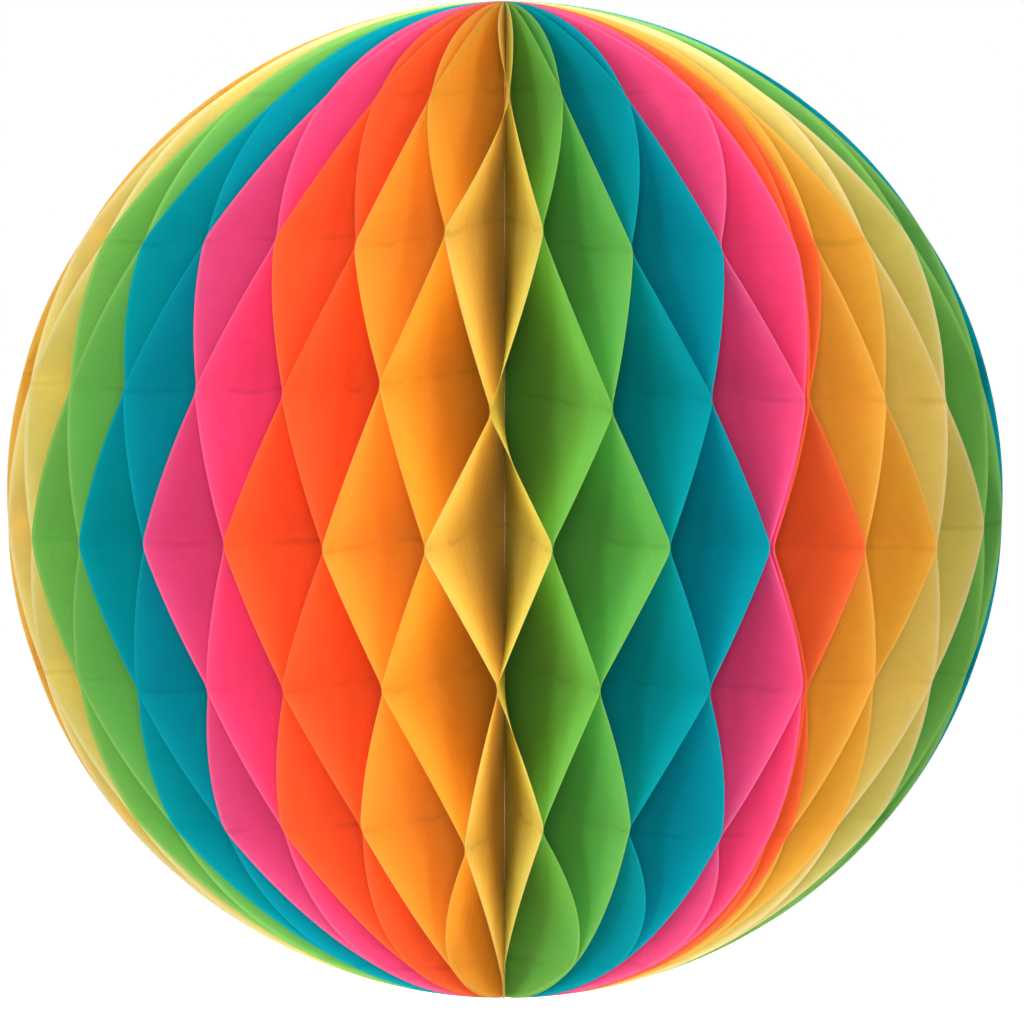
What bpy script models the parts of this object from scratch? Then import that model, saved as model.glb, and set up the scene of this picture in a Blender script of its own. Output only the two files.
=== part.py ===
# Paper honeycomb ball: half-disc tissue sheets that fan out round a spine thread between two cover boards.
# Metres, +Z up along the spine, origin at the ball's centre. The boards meet at the back, in the plane x = 0.
import bisect
import math

import bmesh
import bpy

# Ball
BALL_RADIUS = 0.1525
SHEET_COUNT = 56

# Tissue sheets
SHEET_THICKNESS = 0.00012
GLUE_GAP = 0.0001
GLUE_LINE_STEP = 0.0443
GLUE_LINE_HEIGHT = 0.010
GLUE_LINE_START = -0.0065
SHEET_TIP_WIDTH = 0.002
SHEET_EDGE_ARC = math.radians(6)

# Cover boards
BOARD_THICKNESS = 0.0005
BOARD_EDGE_INSET = 0.003
BOARD_EDGE_ARC = math.radians(5)
CLOSED_ANGLE = math.radians(6)

# Double-sided tape between the boards
TAPE_THICKNESS = 0.0003
TAPE_WIDTH = 0.012
TAPE_RIM_MARGIN = 0.040
TAPE_END_MARGIN = 0.012

# Spine thread
THREAD_SIDES = 12
THREAD_END_SETBACK = 0.002

SHEET_ANGLE = 2 * math.pi / SHEET_COUNT
BOARD_OUTER_FACE = TAPE_THICKNESS / 2 + GLUE_GAP
BOARD_INNER_FACE = BOARD_OUTER_FACE + BOARD_THICKNESS
BOARD_SET_BACK = (2 * BOARD_INNER_FACE + GLUE_GAP) / math.sin(CLOSED_ANGLE)
BOARD_RADIUS = BALL_RADIUS - BOARD_EDGE_INSET
SHEET_INNER_RADIUS = (SHEET_THICKNESS + GLUE_GAP) / math.sin(SHEET_ANGLE)

# Tissue colours in the order of the stack, as linear RGB
TISSUE_COLOURS = {
    "orange": (0.90, 0.23, 0.01),
    "yellow": (0.93, 0.62, 0.03),
    "green": (0.22, 0.52, 0.03),
    "teal": (0.01, 0.40, 0.37),
    "pink": (0.78, 0.03, 0.22),
    "red": (0.80, 0.06, 0.02),
}
SHEETS_PER_COLOUR = 2
# In one turn through the colours, pink and red share a single pair
SHARED_PAIR_TURN = 2
SHARED_PAIR_COLOURS = ("pink", "red")


def clear_scene():
    for old in list(bpy.data.objects):
        bpy.data.objects.remove(old, do_unlink=True)


def make_material(name, colour, roughness):
    material = bpy.data.materials.new(name)
    material.use_nodes = True
    shader = material.node_tree.nodes["Principled BSDF"]
    shader.inputs["Base Color"].default_value = (*colour, 1)
    shader.inputs["Roughness"].default_value = roughness
    shader.inputs["Metallic"].default_value = 0
    return material


def add_object(name, mesh, material):
    """Places a mesh on the spine axis. The material sits on the object, so that sheets can share a mesh."""
    part = bpy.data.objects.new(name, mesh)
    bpy.context.scene.collection.objects.link(part)
    if not mesh.materials:
        mesh.materials.append(None)
    part.material_slots[0].link = "OBJECT"
    part.material_slots[0].material = material
    return part


def mesh_from(bm, name):
    mesh = bpy.data.meshes.new(name)
    bm.to_mesh(mesh)
    bm.free()
    return mesh


def arc_steps(start, end, longest):
    """Angles from start up to, but not including, end, in even steps no longer than the longest."""
    count = max(1, math.ceil((end - start) / longest))
    return [start + (end - start) * step / count for step in range(count)]


def beside_plane(azimuth, radius, distance):
    """The plan point at a radius along a plane through the axis, set off from the plane by a distance."""
    x = radius * math.sin(azimuth) + distance * math.cos(azimuth)
    y = -radius * math.cos(azimuth) + distance * math.sin(azimuth)
    return x, y


def glue_levels(top):
    """Heights of the glue lines that fit whole between two tips, from the top down."""
    reach = top - GLUE_LINE_HEIGHT / 2
    highest = math.floor((reach - GLUE_LINE_START) / GLUE_LINE_STEP)
    lowest = math.ceil((-reach - GLUE_LINE_START) / GLUE_LINE_STEP)
    return [GLUE_LINE_START + line * GLUE_LINE_STEP for line in range(highest, lowest - 1, -1)]


def lean_to_odd_line(height):
    """How far a sheet has crossed from its even-line neighbour (0) to its odd-line neighbour (1)."""
    lines = (height - GLUE_LINE_START) / GLUE_LINE_STEP
    below = math.floor(lines)
    flat = GLUE_LINE_HEIGHT / GLUE_LINE_STEP / 2
    rise = min(1, max(0, (lines - below - flat) / (1 - 2 * flat)))
    return rise if below % 2 == 0 else 1 - rise


def sheet_mesh(name, even_line_side, near_offset, far_offset):
    """One zigzag sheet between two planes through the axis, at azimuth 0 and SHEET_ANGLE.

    even_line_side is 0 if the even glue lines are on the first plane and 1 if they are on the second.
    The offsets keep the sheet's faces off the two planes.
    """
    inner_radius = (near_offset + SHEET_THICKNESS + far_offset) / math.sin(SHEET_ANGLE)
    tip_angle = math.asin((inner_radius + SHEET_TIP_WIDTH) / BALL_RADIUS)
    tip = BALL_RADIUS * math.cos(tip_angle)
    levels = glue_levels(tip)

    def plan_point(radius, height, face):
        lean = lean_to_odd_line(height)
        share = 1 - lean if even_line_side else lean
        near = beside_plane(0, radius, near_offset + face * SHEET_THICKNESS)
        far = beside_plane(SHEET_ANGLE, radius, -far_offset - (1 - face) * SHEET_THICKNESS)
        x, y = ((1 - share) * a + share * b for a, b in zip(near, far))
        return x, y, height

    # Polar angles of the outer edge, from the top tip down, with both edges of every glue line
    corners = [tip_angle]
    for height in levels:
        corners += [math.acos((height + side * GLUE_LINE_HEIGHT / 2) / BALL_RADIUS) for side in (1, -1)]
    corners.append(math.pi - tip_angle)
    polar = [angle for a, b in zip(corners, corners[1:]) for angle in arc_steps(a, b, SHEET_EDGE_ARC)]
    polar.append(corners[-1])

    bm = bmesh.new()

    def edge(points):
        """The points' vertices on the near face and on the far face."""
        return [[bm.verts.new(plan_point(*point, face)) for point in points] for face in (0, 1)]

    outer = edge([(BALL_RADIUS * math.sin(a), BALL_RADIUS * math.cos(a)) for a in polar])
    inner_heights = [tip, *levels, -tip]
    inner = edge([(inner_radius, height) for height in inner_heights])
    # Each outer point is drawn in to the inner point nearest in height, so the glue lines run straight out
    changes = [-(a + b) / 2 for a, b in zip(inner_heights, inner_heights[1:])]
    ties = [bisect.bisect(changes, -BALL_RADIUS * math.cos(a)) for a in polar]
    for face in (0, 1):
        triangles = []
        for row, (tie, next_tie) in enumerate(zip(ties, ties[1:])):
            here, below = outer[face][row : row + 2]
            triangles.append([here, inner[face][tie], below])
            if next_tie != tie:
                triangles.append([inner[face][tie], inner[face][next_tie], below])
        for triangle in triangles:
            bm.faces.new(triangle[::-1] if face else triangle)
    rims = [[*outer[face], *reversed(inner[face])] for face in (0, 1)]
    for spot in range(len(rims[0])):
        bm.faces.new((rims[0][spot - 1], rims[0][spot], rims[1][spot], rims[1][spot - 1]))
    return mesh_from(bm, name)


def sheet_colours():
    """Colour names of the sheets in stack order."""
    names = []
    turn = 0
    while len(names) < SHEET_COUNT:
        for colour in TISSUE_COLOURS:
            shared = turn == SHARED_PAIR_TURN and colour in SHARED_PAIR_COLOURS
            names += [colour] * (1 if shared else SHEETS_PER_COLOUR)
        turn += 1
    return names[:SHEET_COUNT]


def add_sheets():
    """The stack of sheets, from the fixed board round the front to the moving board."""
    half_gap = GLUE_GAP / 2
    at_board = BOARD_INNER_FACE + GLUE_GAP
    meshes = {
        "first": sheet_mesh("first_sheet", 0, at_board, half_gap),
        "even": sheet_mesh("even_sheet", 0, half_gap, half_gap),
        "odd": sheet_mesh("odd_sheet", 1, half_gap, half_gap),
        "last": sheet_mesh("last_sheet", 1, half_gap, at_board),
    }
    tissues = {name: make_material(f"tissue_{name}", rgb, 0.85) for name, rgb in TISSUE_COLOURS.items()}
    for index, colour in enumerate(sheet_colours()):
        form = "odd" if index % 2 else "even"
        if index == 0:
            form = "first"
        if index == SHEET_COUNT - 1:
            form = "last"
        sheet = add_object(f"sheet_{index + 1:02d}_{colour}", meshes[form], tissues[colour])
        sheet.rotation_euler.z = index * SHEET_ANGLE - math.pi


def slab(name, outline, low_x, high_x):
    """A flat plate: an outline of (y, z) points, extruded along x."""
    bm = bmesh.new()
    face = bm.faces.new([bm.verts.new((low_x, y, z)) for y, z in outline])
    extruded = bmesh.ops.extrude_face_region(bm, geom=[face])
    moved = [item for item in extruded["geom"] if isinstance(item, bmesh.types.BMVert)]
    bmesh.ops.translate(bm, verts=moved, vec=(high_x - low_x, 0, 0))
    bmesh.ops.recalc_face_normals(bm, faces=bm.faces)
    return mesh_from(bm, name)


def add_boards():
    """Two half-discs of chipboard, cut back at the spine so that the closed stack has room to fold."""
    reach = math.acos(BOARD_SET_BACK / BOARD_RADIUS)
    angles = [*arc_steps(-reach, reach, BOARD_EDGE_ARC), reach]
    outline = [(BOARD_RADIUS * math.cos(a), BOARD_RADIUS * math.sin(a)) for a in angles]
    chipboard = make_material("chipboard", (0.56, 0.48, 0.38), 0.9)
    for name, side in (("cover_board_fixed", -1), ("cover_board_moving", 1)):
        faces = sorted((side * BOARD_OUTER_FACE, side * BOARD_INNER_FACE))
        add_object(name, slab(name, outline, *faces), chipboard)


def add_tape():
    """A strip of double-sided tape, on the outer face of the fixed board."""
    rim_edge = BOARD_RADIUS - TAPE_RIM_MARGIN
    spine_edge = rim_edge - TAPE_WIDTH
    end = math.sqrt(BOARD_RADIUS**2 - rim_edge**2) - TAPE_END_MARGIN
    outline = [(spine_edge, -end), (rim_edge, -end), (rim_edge, end), (spine_edge, end)]
    tape = make_material("adhesive_tape", (0.80, 0.78, 0.70), 0.5)
    add_object("seam_tape", slab("seam_tape", outline, -TAPE_THICKNESS / 2, TAPE_THICKNESS / 2), tape)


def add_thread():
    """The spine thread, drawn tight along the axis inside the sheets' sewn edges."""
    bm = bmesh.new()
    radius = SHEET_INNER_RADIUS - GLUE_GAP
    length = 2 * (BALL_RADIUS - THREAD_END_SETBACK)
    bmesh.ops.create_cone(
        bm, cap_ends=True, segments=THREAD_SIDES, radius1=radius, radius2=radius, depth=length
    )
    mesh = mesh_from(bm, "spine_thread")
    mesh.shade_smooth()
    mesh.set_sharp_from_angle(angle=math.radians(40))
    add_object("spine_thread", mesh, make_material("cotton_thread", (0.82, 0.80, 0.74), 0.9))


clear_scene()
add_boards()
add_tape()
add_thread()
add_sheets()
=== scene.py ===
import math
import random

import bpy
import numpy as np
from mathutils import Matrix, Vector


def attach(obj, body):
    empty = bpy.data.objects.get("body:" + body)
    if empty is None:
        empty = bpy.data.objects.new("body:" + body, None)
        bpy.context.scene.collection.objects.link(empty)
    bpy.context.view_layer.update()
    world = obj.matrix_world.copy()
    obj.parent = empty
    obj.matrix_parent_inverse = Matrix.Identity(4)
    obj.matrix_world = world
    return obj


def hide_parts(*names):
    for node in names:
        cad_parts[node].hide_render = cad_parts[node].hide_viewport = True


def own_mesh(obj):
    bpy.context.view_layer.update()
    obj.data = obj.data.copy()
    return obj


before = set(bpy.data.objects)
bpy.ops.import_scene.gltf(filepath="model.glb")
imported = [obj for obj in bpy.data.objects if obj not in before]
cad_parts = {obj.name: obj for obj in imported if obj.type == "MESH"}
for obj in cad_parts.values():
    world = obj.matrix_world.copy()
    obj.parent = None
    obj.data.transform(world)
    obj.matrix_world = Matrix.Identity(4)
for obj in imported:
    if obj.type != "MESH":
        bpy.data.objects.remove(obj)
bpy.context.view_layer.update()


# ---- Cover boards ----
# Two half-discs of grey chipboard, die-cut, one glued to each end of the stack of tissue. They keep the folded
# ball flat, and stand back to back behind the open one. Towards the spine they are pared thin, where the fan closes.
BOARD_RADIUS = 0.1495
BOARD_SPINE_EDGE = 0.0265
BOARD_FACES = (0.00017, 0.00075)
BOARD_PARED_TO = 0.084
BOARD_PARED_EDGE = 0.00005
BOARD_DIE_CRUSH = 0.0001
BOARD_STEPS = 64
BOARD_LAST_STEP = math.radians(0.25)


def linear(hex_code):
    """An sRGB hex colour as the linear RGBA that a shader takes."""
    parts = [int(hex_code[i : i + 2], 16) / 255 for i in (0, 2, 4)]
    return *(p / 12.92 if p <= 0.04045 else ((p + 0.055) / 1.055) ** 2.4 for p in parts), 1.0


def add_node(material, kind, inputs=None, **settings):
    """Adds a shader node with its settings. Each input takes a value, or a link from another node's socket."""
    tree = material.node_tree
    node = tree.nodes.new("ShaderNode" + kind)
    for name, value in settings.items():
        setattr(node, name, value)
    for name, value in (inputs or {}).items():
        if isinstance(value, bpy.types.NodeSocket):
            tree.links.new(value, node.inputs[name])
        else:
            node.inputs[name].default_value = value
    return node


def new_material(name):
    """An empty material, and its output node."""
    material = bpy.data.materials.new(name)
    material.use_nodes = True
    material.node_tree.nodes.clear()
    return material, add_node(material, "OutputMaterial")


def make_piece(name, verts, faces, material, body, node, smooth=True):
    """A mesh piece that moves with a body and, where a node is named, stands for that CAD node."""
    mesh = bpy.data.meshes.new(name)
    mesh.from_pydata([tuple(map(float, v)) for v in verts], [], faces)
    mesh.polygons.foreach_set("use_smooth", [smooth] * len(mesh.polygons))
    mesh.materials.append(material)
    mesh.update()
    piece = bpy.data.objects.new(name, mesh)
    bpy.context.scene.collection.objects.link(piece)
    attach(piece, body)
    if node:
        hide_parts(node)
    return piece


# Chipboard: pressed from waste paper, so it is a dull warm grey, with fibres and flecks of darker and paler stock.
# The pulp clouds every 12 mm and the flecks lie 4 mm apart. The fibres are drawn 0.6 mm wide, to show
chipboard, chipboard_out = new_material("recycled_chipboard")
place = add_node(chipboard, "TexCoord").outputs["Object"]
pulp = add_node(chipboard, "TexNoise", {"Vector": place, "Scale": 1 / 0.012, "Detail": 5.0}).outputs["Fac"]
fibres = add_node(
    chipboard, "TexNoise", {"Vector": place, "Scale": 1 / 0.0012, "Detail": 3.0, "Distortion": 1.5}
).outputs["Fac"]
flecks = add_node(chipboard, "TexVoronoi", {"Vector": place, "Scale": 1 / 0.004}, feature="F1").outputs["Distance"]
pulp_tone = add_node(chipboard, "ValToRGB", {"Fac": pulp})
pulp_tone.color_ramp.elements[0].position, pulp_tone.color_ramp.elements[0].color = 0.3, linear("a3937b")
pulp_tone.color_ramp.elements[1].position, pulp_tone.color_ramp.elements[1].color = 0.7, linear("bcae97")
fleck_mask = add_node(
    chipboard, "MapRange", {"Value": flecks, "From Min": 0.10, "From Max": 0.22, "To Min": 0.55, "To Max": 0.0}
).outputs["Result"]
flecked = add_node(
    chipboard, "Mix", {0: fleck_mask, 6: pulp_tone.outputs["Color"], 7: linear("6e6250")}, data_type="RGBA"
).outputs[2]
fibre_mask = add_node(
    chipboard, "MapRange", {"Value": fibres, "From Min": 0.52, "From Max": 0.72, "To Min": 0.0, "To Max": 0.5}
).outputs["Result"]
fibred = add_node(
    chipboard, "Mix", {0: fibre_mask, 6: flecked, 7: linear("d2c6b1")}, data_type="RGBA"
).outputs[2]
board_rough = add_node(
    chipboard, "MapRange", {"Value": fibres, "To Min": 0.82, "To Max": 0.97}
).outputs["Result"]
board_bump = add_node(
    chipboard, "Bump", {"Height": fibres, "Strength": 0.5, "Distance": 0.00006}
).outputs["Normal"]
board_shader = add_node(
    chipboard,
    "BsdfPrincipled",
    {"Base Color": fibred, "Roughness": board_rough, "Normal": board_bump, "Specular IOR Level": 0.3},
)
chipboard.node_tree.links.new(board_shader.outputs[0], chipboard_out.inputs["Surface"])

# Each board is a row of sections from the spine edge out, with the rim a little crushed by the die on both faces,
# and by no more than a third of the thickness where it is pared
outer_face, inner_face = BOARD_FACES
sweep = np.linspace(math.acos(BOARD_SPINE_EDGE / BOARD_RADIUS), BOARD_LAST_STEP, BOARD_STEPS)
across = sorted([BOARD_PARED_TO, *(BOARD_RADIUS * np.cos(sweep))])
for name, body, side in (("cover_board_fixed", "fixed_cover", -1), ("cover_board_moving", "moving_cover", 1)):
    verts, faces = [], []
    for y in across:
        half = math.sqrt(BOARD_RADIUS**2 - y**2)
        inner = np.interp(y, (BOARD_SPINE_EDGE, BOARD_PARED_TO), (outer_face + BOARD_PARED_EDGE, inner_face))
        crush = min(BOARD_DIE_CRUSH, (inner - outer_face) / 3)
        rim = [(outer_face, half - crush), (outer_face + crush, half), (inner - crush, half), (inner, half - crush)]
        verts += [(side * x, y, z) for x, z in rim] + [(side * x, y, -z) for x, z in reversed(rim)]
    around = 2 * len(rim)
    for first in range(0, len(verts) - around, around):
        for spot in range(around):
            after = (spot + 1) % around
            faces.append((first + spot, first + after, first + around + after, first + around + spot))
    faces += [tuple(range(around))[::-1], tuple(range(len(verts) - around, len(verts)))]
    if side < 0:
        faces = [face[::-1] for face in faces]
    make_piece("die_cut_" + name, verts, faces, chipboard, body, name, smooth=False)


# ---- Tissue sheets ----
# Half-discs of dyed tissue paper, cut from one stack: 56 that the model has, and a second pink and a second red one.
# Each is glued to its neighbours on level lines, on one side at the even lines and on the other at the odd ones,
# so that the fanned stack opens into a honeycomb.
BALL_RADIUS = 0.1525
SHEET_COUNT = 56
SHEET_ANGLE = 2 * math.pi / SHEET_COUNT
SHEET_HALF_GAP = 0.00004
SHEET_CLOSE_RADIUS = 0.012
SHEET_INNER_RADIUS = 0.00024
END_SHEET_INNER_RADIUS = 0.0091
END_SHEET_OFFSET = 0.00091
GLUE_LINE_STEP = 0.0443
GLUE_LINE_START = -0.0065
GLUE_LINE_HALF = 0.0014
GLUE_LINE_BEND = 0.0013
GLUE_LINES = range(-5, 6)
TIP_ANGLE = math.radians(1.5)
TIP_WIDTH = 0.002
SHEET_ROWS = 130
ROW_CLEARANCE = 0.0009
GLUE_LINE_ROWS = (-0.0042, -0.0021, 0.0, 0.0021, 0.0042)
GLUE_LINE_FROM_TIP = 0.001
SHEET_COLUMNS = 14
COLUMNS_CROWD_RIM = 1.6
TISSUE_PASSES_ON = 0.45
# How dark the painted shade along the glue-line creases is, as a share of the dye
CREASE_SHADE_DARKNESS = 0.3
# How far each plane between two sheets stands off its even place, in degrees, from the first plane in view on the
# left to the last on the right: the ball was pulled open by hand
PLANE_DRIFT = dict(
    enumerate(
        (0.6, 0.9, 1.1, 1.6, 1.2, 1.4, 0.7, 0.8, -0.3, -0.5, -0.6, -1.0, -0.4, 0.3, -0.2, 0.0, -0.3, 0.1, 0.2, 0.3,
         0.9, 0.4, 1.7, 1.3, 2.4, 2.0, 1.6, 1.2, 0.8, 0.4),
        start=14,
    )
)
# How far single glue lines strayed from there, counted up from the middle one: (plane, line) to degrees round and mm up
STRAYED_LINES = {
    (16, 0): (0.0, -3.0),
    (17, 1): (0.8, -0.6),
    (18, 0): (0.0, -2.8),
    (19, 1): (0.0, 0.5), (19, -1): (0.2, -1.8),
    (20, 2): (0.3, 1.0), (20, 0): (-0.3, -1.4), (20, -2): (0.0, -0.3),
    (21, 1): (-0.3, 1.3), (21, -1): (0.2, -0.4),
    (22, 2): (0.6, 1.7), (22, 0): (-0.2, -0.3), (22, -2): (-0.5, 0.9),
    (23, 1): (0.3, 0.6), (23, -1): (-0.4, 0.6),
    (24, 2): (0.3, 0.7), (24, 0): (-0.2, -0.9), (24, -2): (-0.1, 1.8),
    (25, 1): (0.0, 4.0), (25, -1): (0.0, 1.3),
    (26, 2): (-0.5, 4.7), (26, 0): (-1.3, -0.5), (26, -2): (1.8, -4.0),
    (27, 3): (1.6, 0.2), (27, 1): (-1.1, -3.7), (27, -1): (-0.3, 1.6), (27, -3): (-0.2, -6.0),
    (28, 2): (-0.1, 5.3), (28, 0): (0.0, -0.4), (28, -2): (0.1, 2.4),
    (29, 1): (0.5, -3.3), (29, -1): (-0.6, 1.5), (29, -3): (7.0, 0.0),
    (30, 2): (-0.9, -0.7), (30, 0): (0.8, -0.2), (30, -2): (0.0, 1.9),
    (31, 1): (-0.2, -0.8), (31, -1): (0.3, 0.7), (31, -3): (8.0, 0.0),
    (32, 2): (-1.2, -1.2), (32, 0): (-0.1, -1.0), (32, -2): (2.0, -2.2),
    (33, 3): (4.5, 0.0), (33, 1): (-0.6, -1.6), (33, -1): (0.5, -0.4), (33, -3): (9.5, 0.0),
    (34, 2): (1.5, -1.2), (34, 0): (0.3, -2.3), (34, -2): (1.6, -2.2),
    (35, 3): (2.0, 0.0), (35, 1): (-0.5, -2.7), (35, -3): (5.5, 0.0),
    (36, 0): (0.3, -4.0),
    (37, 1): (-1.0, -4.1), (37, -3): (3.0, 0.0),
    (38, 0): (0.4, 1.0),
}
# A pink and a red pair share the room of one at the right. The plane where the pairs meet swings from side to side at
# the even lines, and the plane inside the red pair keeps near the pink pair's own at the odd ones
PINK_SHEET, RED_SHEET = 33, 34
PAIRS_MEET, RED_PAIR = 33.4, 33.1
for line, swing in ((-4, 2.0), (-2, 2.3), (0, -8.6), (2, 2.2), (4, 2.0)):
    STRAYED_LINES[PAIRS_MEET, line] = (swing, STRAYED_LINES.get((PINK_SHEET - 1, line), (0, 0))[1])
for line, swing in ((-5, 0.0), (-3, 3.5), (-1, 0.0), (1, 0.0), (3, 4.9), (5, 0.0)):
    stray_round, stray_up = STRAYED_LINES.setdefault((PINK_SHEET, line), (0, 0))
    STRAYED_LINES[RED_PAIR, line] = (stray_round + swing, stray_up)
# The lines out of view strayed by chance, by up to this many degrees round and mm up
STRAY_MOST = (0.5, 1.2)
pull = random.Random(28)

# The dyed colour, and a paler one painted along the rim as a highlight where light catches the edges
TISSUE_DYES = {
    "orange": ("fcc044", "fed068"),
    "yellow": ("fee778", "fff3c0"),
    "green": ("7ccb5e", "a8dd78"),
    "teal": ("00a4b4", "0ab6c4"),
    "pink": ("fa538d", "fd7dab"),
    "red": ("fa7039", "fc8552"),
}

# Dyed tissue: one thin ply, matt, with cloudy fibres. It passes on nearly half the light, so sheets glow and tint the
# next
tissues = {}
for dye, (dyed_hex, highlight_hex) in TISSUE_DYES.items():
    tissue, tissue_out = new_material(f"dyed_tissue_{dye}")
    place = add_node(tissue, "TexCoord").outputs["Object"]
    flat = add_node(tissue, "UVMap", uv_map="flat_sheet").outputs["UV"]
    from_edge, height, _ = add_node(tissue, "SeparateXYZ", {"Vector": flat}).outputs
    # The pulp clouds every 6 mm, and single fibres are drawn 0.4 mm wide, to show
    cloud = add_node(tissue, "TexNoise", {"Vector": place, "Scale": 1 / 0.006, "Detail": 4.0}).outputs["Fac"]
    fibre = add_node(
        tissue, "TexNoise", {"Vector": place, "Scale": 1 / 0.0008, "Detail": 2.0, "Distortion": 2.0}
    ).outputs["Fac"]
    grain = add_node(tissue, "Math", {0: cloud, 1: fibre}, operation="ADD").outputs[0]
    grain_dark = add_node(
        tissue, "MapRange", {"Value": grain, "From Min": 0.7, "From Max": 1.3, "To Min": 0.93, "To Max": 1.01}
    ).outputs["Result"]
    dye_colour = linear(dyed_hex)[:3]
    dyed = add_node(
        tissue, "VectorMath", {0: dye_colour, "Scale": grain_dark}, operation="SCALE"
    ).outputs[0]
    # Painted highlight: the rim is paler over its last 7 mm, and palest along the cut edge itself, where light catches
    # the edges
    painted_rim_light = add_node(
        tissue,
        "MapRange",
        {"Value": from_edge, "From Min": 0.0, "From Max": 0.007, "To Min": 0.15, "To Max": 0.0},
        interpolation_type="SMOOTHSTEP",
    ).outputs["Result"]
    painted_edge_highlight = add_node(
        tissue,
        "MapRange",
        {"Value": from_edge, "From Min": 0.0002, "From Max": 0.0016, "To Min": 0.5, "To Max": 0.0},
        interpolation_type="SMOOTHSTEP",
    ).outputs["Result"]
    painted_highlight_mask = add_node(tissue, "Math", {0: painted_rim_light, 1: painted_edge_highlight}, operation="ADD").outputs[0]
    # The dye turns to the paler painted highlight colour towards the rim
    highlighted = add_node(
        tissue, "Mix", {0: painted_highlight_mask, 6: dyed, 7: linear(highlight_hex)}, data_type="RGBA"
    ).outputs[2]
    # Painted shade: thin dark lines, 1 mm wide, along the glue-line creases, that wander a little and fade in places
    wander = add_node(tissue, "TexNoise", {"Vector": place, "Scale": 1 / 0.026, "Detail": 1.0}).outputs["Fac"]
    wandered = add_node(
        tissue, "MapRange", {"Value": wander, "To Min": -0.003, "To Max": 0.003}
    ).outputs["Result"]
    crease_height = add_node(tissue, "Math", {0: height, 1: wandered}, operation="ADD").outputs[0]
    from_line = add_node(
        tissue, "Math", {0: crease_height, 1: GLUE_LINE_STEP / 2}, operation="PINGPONG"
    ).outputs[0]
    crease_shade = add_node(
        tissue,
        "MapRange",
        {"Value": from_line, "From Min": 0.0002, "From Max": 0.0014, "To Min": 1.0, "To Max": 0.0},
        interpolation_type="SMOOTHSTEP",
    ).outputs["Result"]
    crease_shade_fade = add_node(
        tissue, "MapRange", {"Value": wander, "From Min": 0.4, "From Max": 0.62, "To Min": 0.0, "To Max": 0.16}
    ).outputs["Result"]
    crease_shade_mask = add_node(tissue, "Math", {0: crease_shade, 1: crease_shade_fade}, operation="MULTIPLY").outputs[0]
    # Painted shade: the dye darkened where the glue lines crease the paper
    crease_shade_colour = *(CREASE_SHADE_DARKNESS * part for part in dye_colour), 1.0
    crease_shaded = add_node(
        tissue, "Mix", {0: crease_shade_mask, 6: highlighted, 7: crease_shade_colour}, data_type="RGBA"
    ).outputs[2]
    # Crumples about 12 mm across, with the fibres on top
    crumple = add_node(tissue, "TexNoise", {"Vector": place, "Scale": 1 / 0.012, "Detail": 2.0}).outputs["Fac"]
    crumple_bump = add_node(tissue, "Bump", {"Height": crumple, "Strength": 0.15, "Distance": 0.0015}).outputs[0]
    fibre_bump = add_node(
        tissue, "Bump", {"Height": fibre, "Strength": 0.3, "Distance": 0.00008, "Normal": crumple_bump}
    ).outputs[0]
    rough = add_node(tissue, "MapRange", {"Value": grain, "To Min": 0.74, "To Max": 0.92}).outputs["Result"]
    face = add_node(
        tissue,
        "BsdfPrincipled",
        {"Base Color": crease_shaded, "Roughness": rough, "Normal": fibre_bump, "Specular IOR Level": 0.08},
    ).outputs[0]
    glow = add_node(tissue, "BsdfTranslucent", {"Color": crease_shaded, "Normal": fibre_bump}).outputs[0]
    both = add_node(tissue, "MixShader", {0: TISSUE_PASSES_ON, 1: face, 2: glow}).outputs[0]
    tissue.node_tree.links.new(both, tissue_out.inputs["Surface"])
    tissues[dye] = tissue


def glue_line_place(plane, line):
    """Azimuth and height of a glue line on a plane between two sheets, once the ball is open."""
    if (plane, line) not in STRAYED_LINES:
        STRAYED_LINES[plane, line] = tuple(pull.uniform(-most, most) for most in STRAY_MOST)
    stray_round, stray_up = STRAYED_LINES[plane, line]
    stray_round += PLANE_DRIFT.get(int(plane), 0)
    if plane in (0, SHEET_COUNT):
        stray_round = 0
    azimuth = plane * SHEET_ANGLE - math.pi + math.radians(stray_round)
    return azimuth, GLUE_LINE_START + line * GLUE_LINE_STEP + stray_up / 1000


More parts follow.
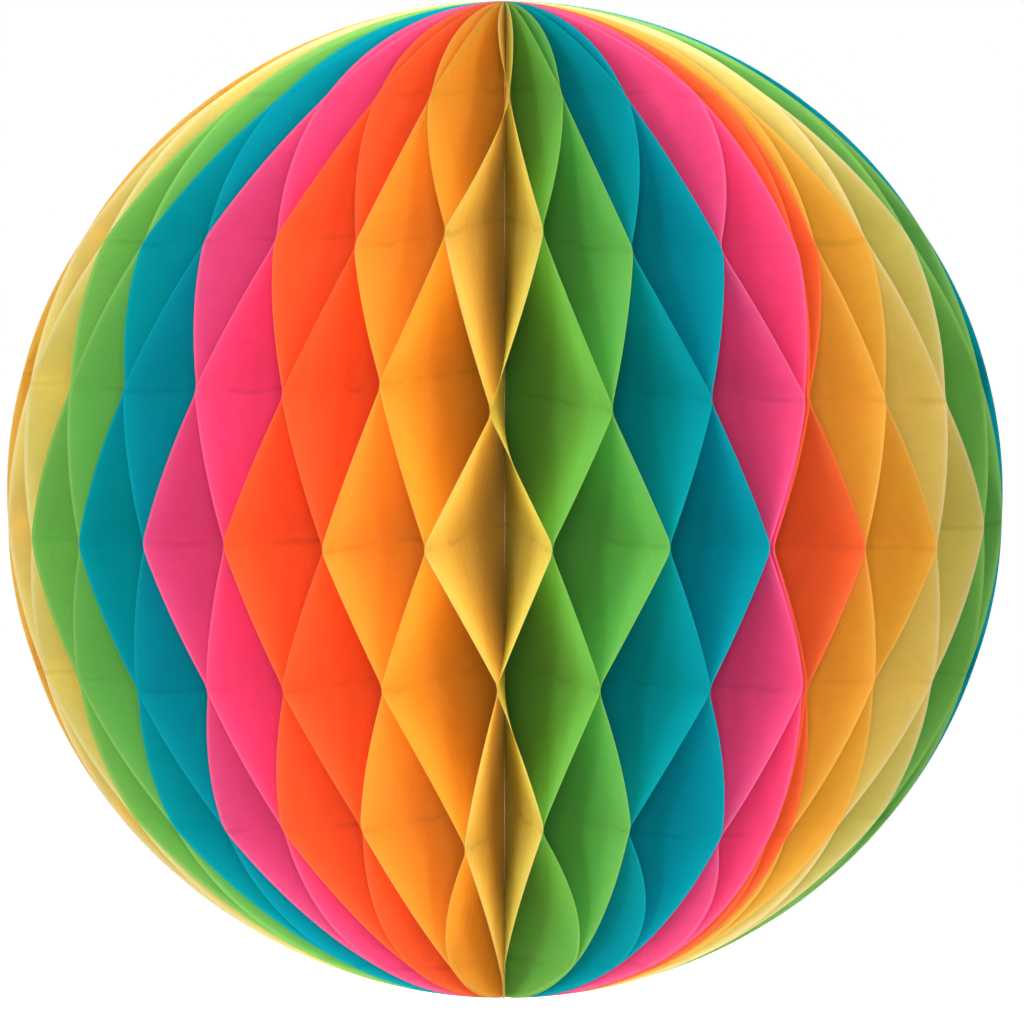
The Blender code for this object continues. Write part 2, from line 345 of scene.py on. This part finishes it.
def sheet_points(near_plane, far_plane, near_parity):
    """A grid of points on one sheet, from the top tip down and from the spine out, with their flat places.

    The sheet is glued to its near plane on the lines of one parity and to its far plane on the others."""
    levels, azimuths, nears = [], [], []
    for line in GLUE_LINES:
        near = line % 2 == near_parity
        azimuth, level = glue_line_place(near_plane if near else far_plane, line)
        levels.append(level)
        azimuths.append(azimuth)
        nears.append(float(near))
    at_end = near_plane == 0 or far_plane == SHEET_COUNT
    inner = END_SHEET_INNER_RADIUS if at_end else SHEET_INNER_RADIUS
    tip = max(TIP_ANGLE, math.asin((inner + TIP_WIDTH) / BALL_RADIUS))
    top = BALL_RADIUS * math.cos(tip)
    # Rows follow the arc evenly, and lie closer at each glue line to draw its bend
    bends = [level + off for level in levels for off in GLUE_LINE_ROWS]
    bends = [z for z in bends if abs(z) < top - GLUE_LINE_FROM_TIP]
    arc = BALL_RADIUS * np.cos(np.linspace(tip, math.pi - tip, SHEET_ROWS + 1))
    heights = bends + [z for z in arc if min(abs(z - bend) for bend in bends) > ROW_CLEARANCE or abs(z) == top]
    verts, flats = [], []
    for z in sorted(heights, reverse=True):
        below = int(np.clip(np.searchsorted(levels, z) - 1, 0, len(levels) - 2))
        gap = levels[below + 1] - levels[below]
        flat = GLUE_LINE_HALF / gap
        shares = [
            ((z + bend - levels[below]) / gap - flat) / (1 - 2 * flat)
            for bend in np.linspace(-GLUE_LINE_BEND, GLUE_LINE_BEND, 5)
        ]
        share = float(np.clip(shares, 0, 1).mean())
        azimuth = (1 - share) * azimuths[below] + share * azimuths[below + 1]
        near = (1 - share) * nears[below] + share * nears[below + 1]
        offset = SHEET_HALF_GAP * (2 * near - 1)
        if near_plane == 0:
            offset += (END_SHEET_OFFSET - SHEET_HALF_GAP) * near
        if far_plane == SHEET_COUNT:
            offset -= (END_SHEET_OFFSET - SHEET_HALF_GAP) * (1 - near)
        outer = math.sqrt(BALL_RADIUS**2 - z**2)
        # The painted crease shade counts the lines where they ended up
        line_height = np.interp(z, levels, [line * GLUE_LINE_STEP for line in GLUE_LINES])
        for column in range(SHEET_COLUMNS + 1):
            along = 1 - (1 - column / SHEET_COLUMNS) ** COLUMNS_CROWD_RIM
            radius = inner + (outer - inner) * along
            aside = offset * min(1, radius / SHEET_CLOSE_RADIUS)
            verts.append(
                (
                    radius * math.sin(azimuth) + aside * math.cos(azimuth),
                    -radius * math.cos(azimuth) + aside * math.sin(azimuth),
                    z,
                )
            )
            flats.append((BALL_RADIUS - math.hypot(radius, z), line_height))
    return verts, flats


# Each sheet of the stack: piece, CAD node, number, dye, near and far plane, and the parity of its near lines
stack = []
for node in sorted(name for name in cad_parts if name.startswith("sheet_")):
    number, dye = int(node.split("_")[1]), node.split("_")[2]
    near_plane = RED_PAIR if number == RED_SHEET else number - 1
    stack.append((f"tissue_{node}", node, number, dye, near_plane, number, (number - 1) % 2))
# The pink and the red sheet of the shared room each have a second one folded close against them
stack.append(("tissue_second_pink", None, PINK_SHEET, "pink", PINK_SHEET, PAIRS_MEET, 1))
stack.append(("tissue_second_red", None, RED_SHEET, "red", PAIRS_MEET, RED_PAIR, 0))
for name, node, number, dye, near_plane, far_plane, near_parity in stack:
    verts, flats = sheet_points(near_plane, far_plane, near_parity)
    row = SHEET_COLUMNS + 1
    sheet_faces = [
        (v, v + row, v + row + 1, v + 1) for v in range(len(verts) - row) if v % row < SHEET_COLUMNS
    ]
    body = f"sheet_{number:02d}"
    sheet = make_piece(name, verts, sheet_faces, tissues[dye], body, node)
    uv = sheet.data.uv_layers.new(name="flat_sheet")
    corners = np.zeros(len(sheet.data.loops), int)
    sheet.data.loops.foreach_get("vertex_index", corners)
    uv.data.foreach_set("uv", np.array(flats)[corners].ravel())
    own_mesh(sheet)


# ---- Spine thread ----
# One length of white sewing cotton, three plies twisted together. It is sewn through the straight edges of
# the whole stack, drawn tight along the axis, and tied off with a knot at each end.
THREAD_HALF = 0.1529
PLY_COUNT = 3
PLY_RADIUS = 0.00009
PLY_FROM_AXIS = 0.0001
PLY_TURN = 0.0014
STEPS_PER_TURN = 6
PLY_SIDES = 5
KNOT_SIZE = 0.0002
KNOT_DEPTH = 1.4 * KNOT_SIZE
KNOT_STEPS = 60
KNOT_HEIGHT = 0.15293


def tube(path, radius, sides, closed=False):
    """Vertices and faces of a round tube along a path of points, with its ends closed unless the path is a ring."""
    path = np.array(path, float)
    along = np.roll(path, -1, 0) - np.roll(path, 1, 0) if closed else np.gradient(path, axis=0)
    along /= np.linalg.norm(along, axis=1)[:, None]
    side = np.cross(along, np.where(np.abs(along[:, :1]) > 0.9, (0.0, 1.0, 0.0), (1.0, 0.0, 0.0)))
    side /= np.linalg.norm(side, axis=1)[:, None]
    other = np.cross(along, side)
    turn = np.arange(sides) * 2 * math.pi / sides
    verts = path[:, None] + radius * (
        side[:, None] * np.cos(turn)[None, :, None] + other[:, None] * np.sin(turn)[None, :, None]
    )
    count = len(path)
    faces = [
        (
            ring * sides + spot,
            ring * sides + (spot + 1) % sides,
            (ring + 1) % count * sides + (spot + 1) % sides,
            (ring + 1) % count * sides + spot,
        )
        for ring in range(count if closed else count - 1)
        for spot in range(sides)
    ]
    if not closed:
        faces += [tuple(range(sides))[::-1], tuple(range((count - 1) * sides, count * sides))]
    return verts.reshape(-1, 3).tolist(), faces


# Cotton: combed staple fibres, so it is matt and creamy white, with fine fibres along each ply
cotton, cotton_out = new_material("cotton_thread")
place = add_node(cotton, "TexCoord").outputs["Object"]
# Fibres are 0.02 mm in the real thread, and drawn 0.15 mm wide and 1 mm long to show
stretched = add_node(cotton, "Mapping", {"Vector": place, "Scale": (1.0, 1.0, 0.15)}).outputs["Vector"]
staple = add_node(
    cotton, "TexNoise", {"Vector": stretched, "Scale": 1 / 0.00015, "Detail": 2.0, "Distortion": 1.0}
).outputs["Fac"]
cotton_tone = add_node(cotton, "ValToRGB", {"Fac": staple})
cotton_tone.color_ramp.elements[0].position, cotton_tone.color_ramp.elements[0].color = 0.3, linear("cfc8b8")
cotton_tone.color_ramp.elements[1].position, cotton_tone.color_ramp.elements[1].color = 0.7, linear("f0ebdf")
cotton_rough = add_node(cotton, "MapRange", {"Value": staple, "To Min": 0.8, "To Max": 0.98}).outputs["Result"]
cotton_bump = add_node(cotton, "Bump", {"Height": staple, "Strength": 0.6, "Distance": 0.00005}).outputs["Normal"]
cotton_shader = add_node(
    cotton,
    "BsdfPrincipled",
    {
        "Base Color": cotton_tone.outputs["Color"],
        "Roughness": cotton_rough,
        "Normal": cotton_bump,
        "Specular IOR Level": 0.25,
        "Sheen Weight": 0.3,
        "Sheen Roughness": 0.5,
    },
)
cotton.node_tree.links.new(cotton_shader.outputs[0], cotton_out.inputs["Surface"])

verts, faces = [], []
turns = 2 * THREAD_HALF / PLY_TURN
for ply in range(PLY_COUNT):
    path = []
    for z in np.linspace(-THREAD_HALF, THREAD_HALF, int(turns * STEPS_PER_TURN) + 1):
        angle = 2 * math.pi * (z / PLY_TURN + ply / PLY_COUNT)
        path.append((PLY_FROM_AXIS * math.cos(angle), PLY_FROM_AXIS * math.sin(angle), z))
    ply_verts, ply_faces = tube(path, PLY_RADIUS, PLY_SIDES)
    faces += [tuple(len(verts) + v for v in face) for face in ply_faces]
    verts += ply_verts
# Each knot is an overhand knot pulled tight, and sits on the ends of the sheets
for end in (-1, 1):
    ring = [
        (
            KNOT_SIZE * (math.sin(t) + 2 * math.sin(2 * t)),
            KNOT_SIZE * (math.cos(t) - 2 * math.cos(2 * t)),
            end * KNOT_HEIGHT - KNOT_DEPTH * math.sin(3 * t),
        )
        for t in np.arange(KNOT_STEPS) * 2 * math.pi / KNOT_STEPS
    ]
    knot_verts, knot_faces = tube(ring, PLY_RADIUS * 2, PLY_SIDES, closed=True)
    faces += [tuple(len(verts) + v for v in face) for face in knot_faces]
    verts += knot_verts
make_piece("twisted_spine_thread", verts, faces, cotton, "fixed_cover", "spine_thread")


# ---- Seam tape ----
# A strip of clear double-sided acrylic tape, torn off a dispenser with a toothed edge. It is pressed on the outer
# face of the fixed board, and holds the two boards back to back once the ball is pulled open.
TAPE_FACE = 0.00015
TAPE_EDGES = (0.0975, 0.1095)
TAPE_END = 0.0898
TAPE_TEETH = 10
TAPE_TOOTH_DEPTH = 0.0006
TAPE_RIPPLE = 0.00002
RIPPLE_TURN_ALONG, RIPPLE_TURN_ACROSS = 19, 0.6
TAPE_ROWS = 72

# Acrylic tape: a clear glue on a thin film, so it is glossy and faintly cream, with bubbles where it bridges fibres
acrylic, acrylic_out = new_material("acrylic_tape")
place = add_node(acrylic, "TexCoord").outputs["Object"]
haze = add_node(acrylic, "TexNoise", {"Vector": place, "Scale": 1 / 0.009, "Detail": 3.0}).outputs["Fac"]
# Bubbles are 0.5 to 1 mm across
bubbles = add_node(
    acrylic, "TexVoronoi", {"Vector": place, "Scale": 1 / 0.0022, "Randomness": 1.0}, feature="F1"
).outputs["Distance"]
bubble_mask = add_node(
    acrylic,
    "MapRange",
    {"Value": bubbles, "From Min": 0.16, "From Max": 0.26, "To Min": 1.0, "To Max": 0.0},
    interpolation_type="SMOOTHSTEP",
).outputs["Result"]
film_tone = add_node(acrylic, "ValToRGB", {"Fac": haze})
film_tone.color_ramp.elements[0].position, film_tone.color_ramp.elements[0].color = 0.3, linear("d8cfb8")
film_tone.color_ramp.elements[1].position, film_tone.color_ramp.elements[1].color = 0.7, linear("e6dfcc")
bubbled = add_node(
    acrylic, "Mix", {0: bubble_mask, 6: film_tone.outputs["Color"], 7: linear("f4f0e6")}, data_type="RGBA"
).outputs[2]
film_rough = add_node(acrylic, "MapRange", {"Value": haze, "To Min": 0.16, "To Max": 0.34}).outputs["Result"]
film_bump = add_node(acrylic, "Bump", {"Height": bubble_mask, "Strength": 0.5, "Distance": 0.0001}).outputs["Normal"]
film_shader = add_node(
    acrylic,
    "BsdfPrincipled",
    {"Base Color": bubbled, "Roughness": film_rough, "Normal": film_bump, "IOR": 1.47},
)
acrylic.node_tree.links.new(film_shader.outputs[0], acrylic_out.inputs["Surface"])

columns = 2 * TAPE_TEETH
verts = []
for side in (-1, 1):
    for row_at in np.linspace(-1, 1, TAPE_ROWS + 1):
        for column in range(columns + 1):
            tooth = TAPE_TOOTH_DEPTH * (column % 2)
            turn = row_at * RIPPLE_TURN_ALONG + column * RIPPLE_TURN_ACROSS
            ripple = TAPE_RIPPLE * math.sin(turn) * (1 - abs(row_at))
            verts.append(
                (
                    side * TAPE_FACE + ripple,
                    TAPE_EDGES[0] + (TAPE_EDGES[1] - TAPE_EDGES[0]) * column / columns,
                    row_at * (TAPE_END - tooth),
                )
            )
faces = []
row = columns + 1
layer = row * (TAPE_ROWS + 1)
for r in range(TAPE_ROWS):
    for c in range(columns):
        quad = (r * row + c, r * row + c + 1, (r + 1) * row + c + 1, (r + 1) * row + c)
        faces.append(quad[::-1])
        faces.append(tuple(layer + v for v in quad))
rim = list(range(columns))
rim += [r * row + columns for r in range(TAPE_ROWS)]
rim += [TAPE_ROWS * row + c for c in range(columns, 0, -1)]
rim += [r * row for r in range(TAPE_ROWS, 0, -1)]
for spot, after in zip(rim, rim[1:] + rim[:1]):
    faces.append((spot, after, layer + after, layer + spot))
make_piece(
    "double_sided_seam_tape", verts, faces, acrylic, "fixed_cover", "seam_tape", smooth=False
)


# ---- Studio ----
# The ball hangs in a white room, over a floor of white paper. A tall softbox stands close on each side of the front,
# with three gridded strips between them, a small softbox above, and a wide pair behind.
CAMERA_AZIMUTH = -5.55
CAMERA_ELEVATION = 3.07
CAMERA_DISTANCE = 5.64
FOCAL_PIXELS = 18434
IMAGE_WIDTH = 1024
SENSOR_WIDTH = 36
# Pixels from the picture's middle to the ball's, right and up
BALL_SHIFT = (-7.2, 9.4)


def stand(thing, azimuth, elevation, distance):
    """Places a camera or lamp round the ball, by degrees, and turns it to the ball's middle."""
    bpy.context.scene.collection.objects.link(thing)
    azimuth, elevation = math.radians(azimuth), math.radians(elevation)
    level = distance * math.cos(elevation)
    thing.location = (level * math.sin(azimuth), -level * math.cos(azimuth), distance * math.sin(elevation))
    thing.rotation_euler = (-Vector(thing.location)).to_track_quat("-Z", "Y").to_euler()


camera = bpy.data.objects.new("camera", bpy.data.cameras.new("camera"))
stand(camera, CAMERA_AZIMUTH, CAMERA_ELEVATION, CAMERA_DISTANCE)
camera.data.sensor_fit = "HORIZONTAL"
camera.data.sensor_width = SENSOR_WIDTH
camera.data.lens = FOCAL_PIXELS / IMAGE_WIDTH * SENSOR_WIDTH
camera.data.shift_x = -BALL_SHIFT[0] / IMAGE_WIDTH
camera.data.shift_y = -BALL_SHIFT[1] / IMAGE_WIDTH
camera.data.clip_end = 200
bpy.context.scene.camera = camera

# Degrees round from the camera and up, metres away, width, height, watts, and degrees that the beam spreads
for name, azimuth, elevation, distance, width, height, watts, spread in (
    ("left_softbox", -24, 6, 0.6, 0.25, 0.7, 2.7, 180),
    ("right_softbox", 24, 6, 0.6, 0.25, 0.7, 1.5, 180),
    ("left_gridded_strip", -12, 4, 1.2, 0.1, 0.9, 0.27, 14),
    ("front_gridded_strip", 0, 4, 1.2, 0.1, 0.9, 0.36, 14),
    ("right_gridded_strip", 12, 4, 1.2, 0.1, 0.9, 0.2, 14),
    ("top_softbox", 0, 45, 0.6, 0.3, 0.3, 0.5, 180),
    ("back_left_softbox", -162, 6, 2.4, 0.8, 1.6, 30, 180),
    ("back_right_softbox", 162, 6, 2.4, 0.8, 1.6, 30, 180),
):
    softbox = bpy.data.objects.new(name, bpy.data.lights.new(name, "AREA"))
    stand(softbox, CAMERA_AZIMUTH + azimuth, elevation, distance)
    softbox.data.shape = "RECTANGLE"
    softbox.data.size, softbox.data.size_y = width, height
    softbox.data.energy = watts
    softbox.data.spread = math.radians(spread)

world = bpy.data.worlds.new("white_room")
world.use_nodes = True
world.node_tree.nodes.clear()
bpy.context.scene.world = world
floor_paper, floor_out = new_material("white_paper")
# Eye, mirror and glass see the white. Light that tissue passes on is scattered, so it counts with the rest
seen = {}
for ground in (world, floor_paper):
    rays = add_node(ground, "LightPath").outputs
    clear = add_node(
        ground, "Math", {0: rays["Is Transmission Ray"], 1: rays["Is Diffuse Ray"]}, operation="SUBTRACT"
    ).outputs[0]
    mirrored = add_node(ground, "Math", {0: rays["Is Glossy Ray"], 1: clear}, operation="MAXIMUM").outputs[0]
    seen[ground] = add_node(
        ground, "Math", {0: rays["Is Camera Ray"], 1: mirrored}, operation="MAXIMUM"
    ).outputs[0]
# How white the room and the floor look, and how much of the room's white lights the ball
ROOM_WHITE = 1.0
WORLD_LIGHT = 0.08
FLOOR_WHITE = 0.95
white = add_node(
    world, "MapRange", {"Value": seen[world], "To Min": WORLD_LIGHT, "To Max": ROOM_WHITE}
).outputs["Result"]
room = add_node(world, "Background", {"Strength": white})
add_node(world, "OutputWorld", {"Surface": room.outputs[0]})

FLOOR_DROP = 0.32
FLOOR_HALF = 60
lift = add_node(floor_paper, "MapRange", {"Value": seen[floor_paper], "To Max": FLOOR_WHITE}).outputs["Result"]
floor_face = add_node(floor_paper, "BsdfDiffuse", {"Color": linear("e9e9e8")}).outputs[0]
floor_lift = add_node(floor_paper, "Emission", {"Strength": lift}).outputs[0]
floor_both = add_node(floor_paper, "AddShader", {0: floor_face, 1: floor_lift}).outputs[0]
floor_paper.node_tree.links.new(floor_both, floor_out.inputs["Surface"])
mesh = bpy.data.meshes.new("floor")
corners = [(x * FLOOR_HALF, y * FLOOR_HALF, -FLOOR_DROP) for x, y in ((-1, -1), (1, -1), (1, 1), (-1, 1))]
mesh.from_pydata(corners, [], [(0, 1, 2, 3)])
mesh.materials.append(floor_paper)
floor = bpy.data.objects.new("floor", mesh)
bpy.context.scene.collection.objects.link(floor)

bpy.context.scene.view_settings.view_transform = "Standard"
